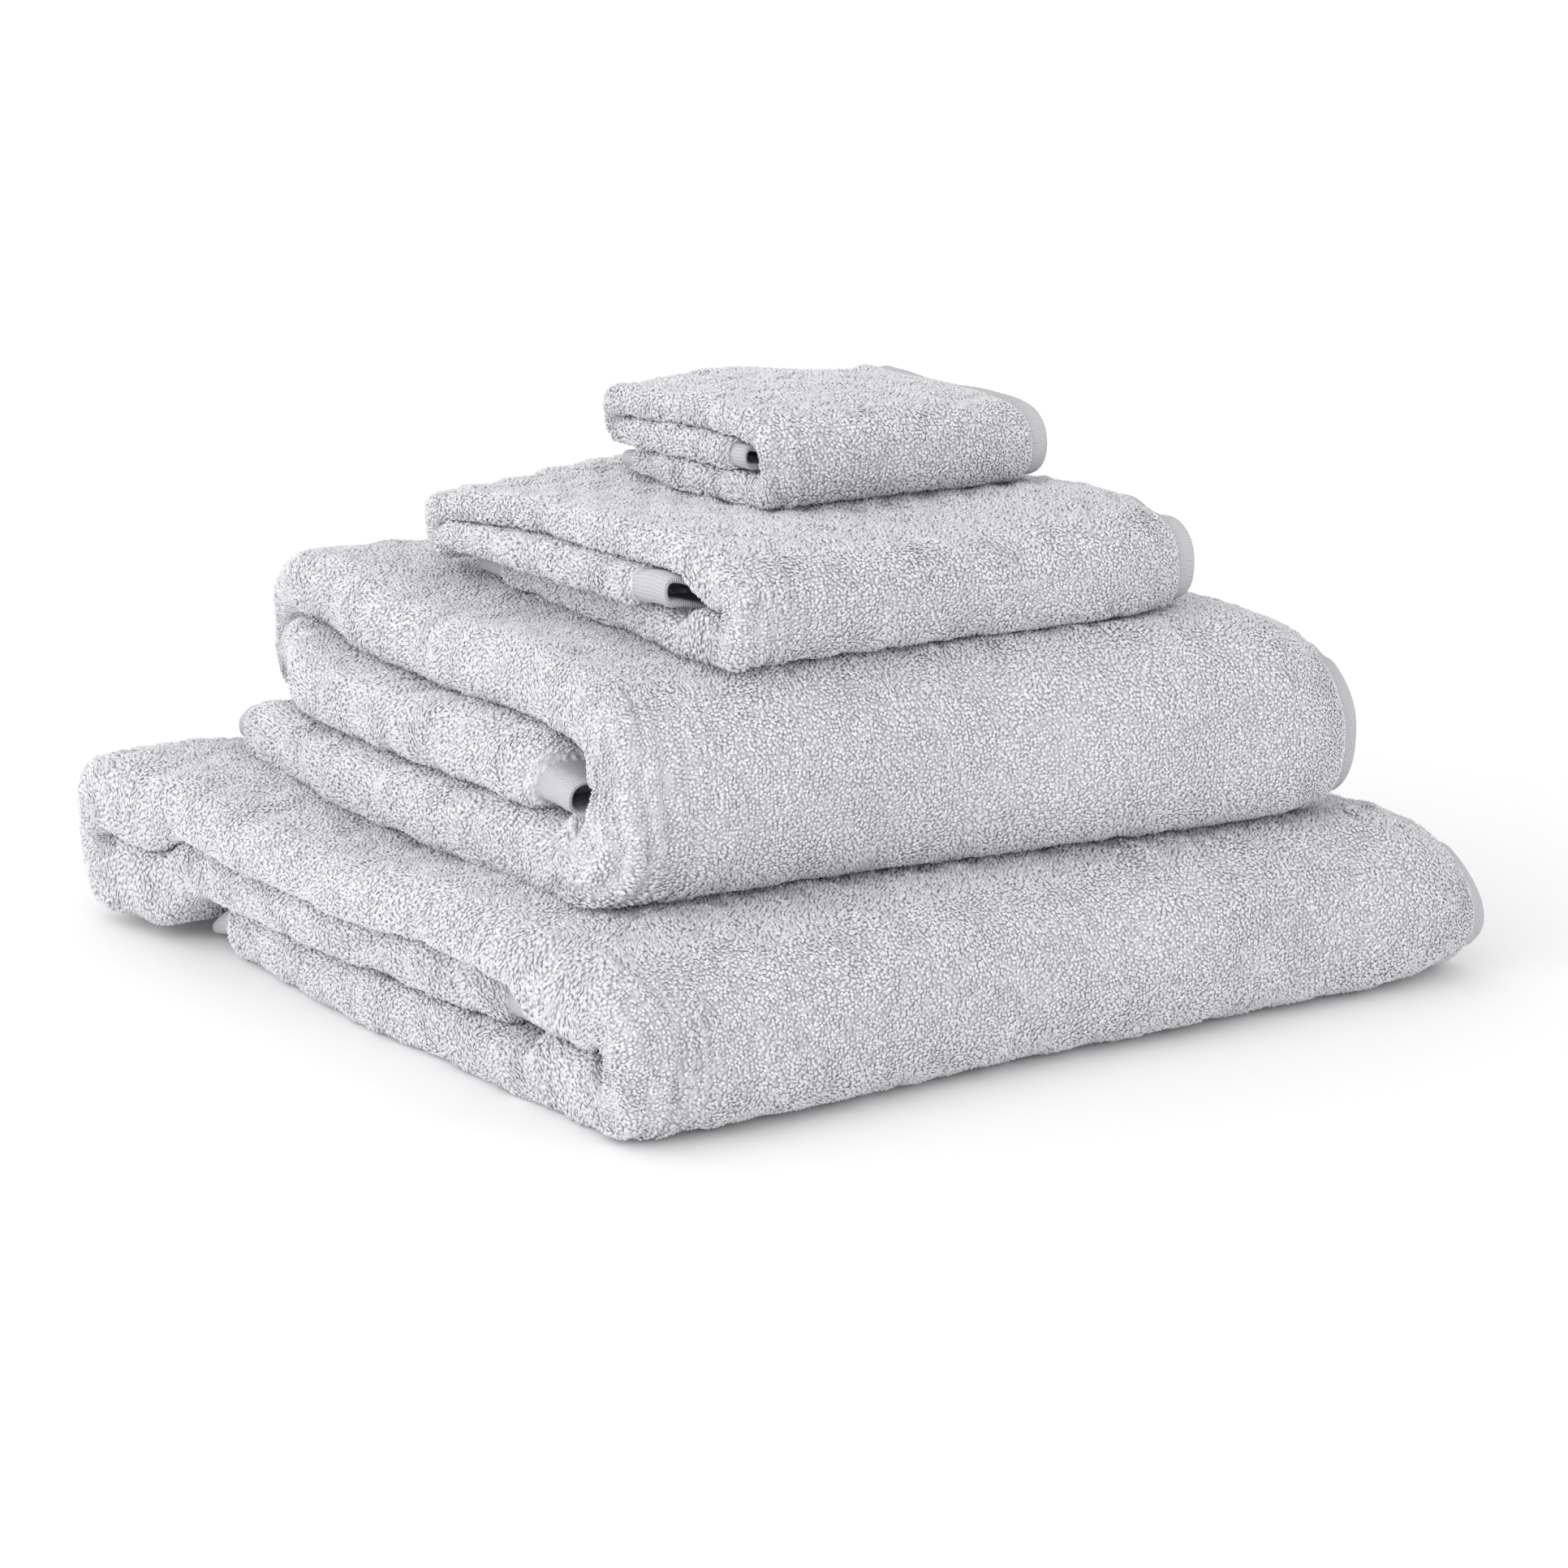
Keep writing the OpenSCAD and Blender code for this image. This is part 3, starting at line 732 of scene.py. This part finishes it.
def thread_material():
    """Mercerised cotton thread, smoother and a little brighter than the cloth it holds"""
    if "mercerised_cotton_thread" in bpy.data.materials:
        return bpy.data.materials["mercerised_cotton_thread"]
    material, tree = new_material("mercerised_cotton_thread")
    flat = add_node(tree, "ShaderNodeAttribute", {"attribute_name": "flat_cloth"}, {}).outputs["Vector"]
    twist = add_node(tree, "ShaderNodeTexWave", {"bands_direction": "DIAGONAL"}, {
        "Vector": flat, "Scale": 900.0})
    colour = linear(bpy.context.scene.dyes.thread)
    tone = add_node(tree, "ShaderNodeMix", {"data_type": "RGBA"}, {
        0: twist.outputs["Fac"], 6: [0.88 * v for v in colour[:3]] + [1], 7: colour})
    cotton(tree, tone.outputs[2], twist.outputs["Fac"], 0.0001, 0.6, 0.1)
    return material


def floor_material():
    """Matt white paper, as a studio sweep has"""
    material, tree = new_material("white_studio_paper")
    grain = add_node(tree, "ShaderNodeTexNoise", {}, {"Scale": 900.0, "Detail": 2.0})
    rough = add_node(tree, "ShaderNodeMapRange", {}, {
        "Value": grain.outputs["Fac"], "To Min": 0.88, "To Max": 0.96})
    paper = add_node(tree, "ShaderNodeBsdfPrincipled", {}, {
        "Base Color": linear(bpy.context.scene.dyes.floor), "Roughness": rough.outputs["Result"],
        "Specular IOR Level": 0.1})
    add_node(tree, "ShaderNodeOutputMaterial", {}, {"Surface": paper.outputs["BSDF"]})
    return material


# ---------------------------------------------------------------- riding


def place(piece, fold, opens=None):
    """Makes a piece move with its towel. On the face cloth a piece past the front fold rides on the flap,
    and one that crosses it only has its transform applied and its flat places read: it is not bent and
    rides on no body."""
    if fold.name != "face_cloth" or opens is None:
        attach(piece, fold.name)
    elif opens == "flap":
        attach(piece, FLAP_BODY)
    else:
        bend_with_fold(piece)
    return piece


def bend_with_fold(piece):
    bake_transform(piece)
    flat = np.empty(len(piece.data.vertices) * 3, np.float32)
    piece.data.attributes["flat_cloth"].data.foreach_get("vector", flat)


# ---------------------------------------------------------------- operators


def node_names(fold, part):
    """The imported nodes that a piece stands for: the face cloth's are split at the front fold"""
    name = fold.name
    if name != "face_cloth":
        return [f"{name}_{p}" for p in {
            "terry": ("base", "fold", "flap"),
            "side_hems": ("upper_side_hem", "lower_side_hem"),
            "side_threads": ("upper_side_thread", "lower_side_thread"),
        }[part]]
    ending = "" if part == "terry" else "_" + part
    return [f"{name}_{p}{ending}" for p in ("base", "fold", "flap")]


PIECES = {}


class TOWELS_OT_terry(bpy.types.Operator):
    """Fold the loop-pile cloth of the four towels"""

    bl_idname = "towels.terry"
    bl_label = "Fold the terry cloths"

    def execute(self, context):
        for name, fold in make_folds().items():
            piece = place(terry_cloth(fold), fold, "bends")
            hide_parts(*node_names(fold, "terry"))
            PIECES[name, "terry"] = piece
        return {"FINISHED"}


class TOWELS_OT_pile(bpy.types.Operator):
    """Raise the loops of the four towels, where they can be seen"""

    bl_idname = "towels.pile"
    bl_label = "Raise the loops"

    def execute(self, context):
        for name, fold in make_folds().items():
            m, lip_end = fold.marks, fold.straight + fold.lip_run
    
            def outside(s, a):
                if name == "face_cloth":
                    return np.ones(len(s), bool)
                shown = (s > m[1] - FRINGE) & (s < m[4] + FRINGE)
                return (shown | (a > fold.straight - FRINGE)) & (a < lip_end + FRINGE)

            s, a = loop_places(fold, outside)
            parts = np.array_split(np.arange(len(s)), -(-len(s) // MOST_LOOPS))
            for number, part in enumerate(parts, 1):
                piece = loop_pile(fold, f"{name}_loops_{number}", s[part], a[part])
                place(piece, fold, "bends")
                PIECES.setdefault((name, "trim"), []).append(piece)
        return {"FINISHED"}


class TOWELS_OT_hems(bpy.types.Operator):
    """Turn and lay the flat woven hems"""

    bl_idname = "towels.hems"
    bl_label = "Turn the hems"

    def execute(self, context):
        for name, fold in make_folds().items():
            cloth, e, length, wide = fold.cloth, fold.sizes.end_hem, fold.length, fold.across
            side = cloth.side_hem
            trim = PIECES.setdefault((name, "trim"), [])
            ends = (
                ("outer", (0, e + TUCK), lambda s, a: e - s),
                ("inner", (length - e - TUCK, length), lambda s, a: s - length + e),
            )
            for which, s_range, from_inner in ends:
                piece = hem_band(fold, f"{name}_{which}_hem_band", s_range, (0, wide), from_inner)
                place(piece, fold, "flap" if which == "inner" else None)
                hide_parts(f"{name}_{which}_end_hem")
                trim.append(piece)
            sides = (
                ("upper", (0, side + TUCK), lambda s, a: side - a),
                ("lower", (wide - side - TUCK, wide), lambda s, a: a - wide + side),
            )
            s_range = (e + HEM_CLEARANCE, length - e - HEM_CLEARANCE)
            for which, a_range, from_inner in sides:
                piece = hem_band(fold, f"{name}_{which}_side_band", s_range, a_range, from_inner)
                place(piece, fold, "bends")
                trim.append(piece)
                nodes = node_names(fold, "side_hems")
                if name != "face_cloth":
                    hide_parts(nodes[which == "lower"])
                elif which == "upper":
                    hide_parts(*nodes)
        return {"FINISHED"}


class TOWELS_OT_seams(bpy.types.Operator):
    """Sew the hems"""

    bl_idname = "towels.seams"
    bl_label = "Sew the hems"

    def execute(self, context):
        for name, fold in make_folds().items():
            cloth, e, length, wide = fold.cloth, fold.sizes.end_hem, fold.length, fold.across
            trim = PIECES.setdefault((name, "trim"), [])
            inset = cloth.seam_inset
            for which, at in (("outer", e - inset), ("inner", length - e + inset)):
                run = wide - 2 * SEAM_MARGIN
                count = int(run / cloth.stitch)
                a = SEAM_MARGIN + np.arange(count) * run / count
                starts = np.stack([np.full(count, at), a], 1)
                steps = np.tile([0, run / count], (count, 1))
                piece = stitches(fold, f"{name}_{which}_end_seam", starts, steps)
                place(piece, fold, "flap" if which == "inner" else None)
                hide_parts(f"{name}_{which}_end_thread")
                trim.append(piece)
            for which, at in (("upper", cloth.side_hem - inset), ("lower", wide - cloth.side_hem + inset)):
                run = length - 2 * e
                count = int(run / cloth.stitch)
                starts = np.stack([e + np.arange(count) * run / count, np.full(count, at)], 1)
                steps = np.tile([run / count, 0], (count, 1))
                piece = stitches(fold, f"{name}_{which}_side_seam", starts, steps)
                place(piece, fold, "bends")
                trim.append(piece)
                nodes = node_names(fold, "side_threads")
                if name != "face_cloth":
                    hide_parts(nodes[which == "lower"])
                elif which == "upper":
                    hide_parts(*nodes)
        return {"FINISHED"}


class TOWELS_OT_cut(bpy.types.Operator):
    """Makes the four towels' folds and does nothing more with them: no flat sizes are stated"""

    bl_idname = "towels.cut"
    bl_label = "State the flat sizes"

    def execute(self, context):
        for number, (name, fold) in enumerate(make_folds().items()):
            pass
        return {"FINISHED"}


class TOWELS_OT_stage(bpy.types.Operator):
    """Lay the floor, and set the lights and the camera"""

    bl_idname = "towels.stage"
    bl_label = "Set the stage"

    def execute(self, context):
        scene = context.scene
        mesh = bpy.data.meshes.new("studio_floor")
        mesh.from_pydata([(-12, -12, 0), (12, -12, 0), (12, 12, 0), (-12, 12, 0)], [], [(0, 1, 2, 3)])
        mesh.materials.append(floor_material())
        floor = bpy.data.objects.new("studio_floor", mesh)
        scene.collection.objects.link(floor)
        add_camera(scene)
        add_lights(scene)
        return {"FINISHED"}


def add_camera(scene):
    lens = bpy.data.cameras.new("camera")
    lens.sensor_width = 36
    lens.lens = 109.5
    lens.clip_end = 100
    camera = bpy.data.objects.new("camera", lens)
    scene.collection.objects.link(camera)
    around, above, away = math.radians(-32.8), math.radians(13.5), 2.059
    level = math.cos(above)
    back = Vector((math.sin(around) * level, -math.cos(around) * level, math.sin(above)))
    camera.location = Vector((0, 0, 0.071)) + back * away
    camera.rotation_euler = back.to_track_quat("Z", "Y").to_euler()
    scene.camera = camera


def add_lights(scene):
    world = bpy.data.worlds.new("studio")
    scene.world = world
    world.use_nodes = True
    tree = world.node_tree
    tree.nodes.clear()
    # a tent of white cloth, brightest low on the left and dimmest overhead
    look = add_node(tree, "ShaderNodeTexCoord", {}, {})
    toward = add_node(tree, "ShaderNodeVectorMath", {"operation": "DOT_PRODUCT"}, {
        0: look.outputs["Generated"], 1: (-0.6, 0.0, -0.8)})
    bright = add_node(tree, "ShaderNodeMapRange", {}, {
        "Value": toward.outputs["Value"], "From Min": -1.0, "From Max": 1.0,
        "To Min": 0.74, "To Max": 1.98})
    sky = add_node(tree, "ShaderNodeBackground", {}, {
        "Color": (1, 1, 1, 1), "Strength": bright.outputs["Result"]})
    add_node(tree, "ShaderNodeOutputWorld", {}, {"Surface": sky.outputs["Background"]})
    for name, spot, size, power in (
        ("left_softbox", (-2.4, -0.5, 0.7), 1.6, 12),
        ("front_softbox", (0.7, -2.5, 0.7), 1.6, 5),
    ):
        light = bpy.data.lights.new(name, "AREA")
        light.size = size
        light.energy = power
        lamp = bpy.data.objects.new(name, light)
        lamp.location = spot
        lamp.rotation_euler = (Vector(spot) - Vector((0, 0, 0.08))).to_track_quat("Z", "Y").to_euler()
        scene.collection.objects.link(lamp)
    scene.view_settings.view_transform = "Standard"


class TOWELS_PT_panel(bpy.types.Panel):
    """The towels' pieces, in the order in which they are made"""

    bl_idname = "TOWELS_PT_panel"
    bl_label = "Towels"
    bl_space_type = "VIEW_3D"
    bl_region_type = "UI"
    bl_category = "Towels"

    def draw(self, context):
        for operator in OPERATORS:
            self.layout.operator(operator.bl_idname)


OPERATORS = (
    TOWELS_OT_terry,
    TOWELS_OT_pile,
    TOWELS_OT_hems,
    TOWELS_OT_seams,
    TOWELS_OT_cut,
    TOWELS_OT_stage,
)
CLASSES = (TowelSizes, ClothSizes, DyesAndShade, *OPERATORS, TOWELS_PT_panel)


def register():
    for item in CLASSES:
        bpy.utils.register_class(item)
    for name in STACK:
        setattr(bpy.types.Scene, name, PointerProperty(type=TowelSizes))
    bpy.types.Scene.cloth_sizes = PointerProperty(type=ClothSizes)
    bpy.types.Scene.dyes = PointerProperty(type=DyesAndShade)


def unregister():
    for name in (*STACK, "cloth_sizes", "dyes"):
        delattr(bpy.types.Scene, name)
    for item in reversed(CLASSES):
        bpy.utils.unregister_class(item)


def main():
    register()
    for number, name in enumerate(STACK):
        sizes = getattr(bpy.context.scene, name)
        for key, value in TOWEL_DEFAULTS[name].items():
            setattr(sizes, key, math.radians(value) if key == "turn" else value)
        sizes.seed = number + 1
    for operator in OPERATORS:
        group, action = operator.bl_idname.split(".")
        getattr(getattr(bpy.ops, group), action)()
    bpy.context.view_layer.update()


if __name__ == "__main__":
    main()
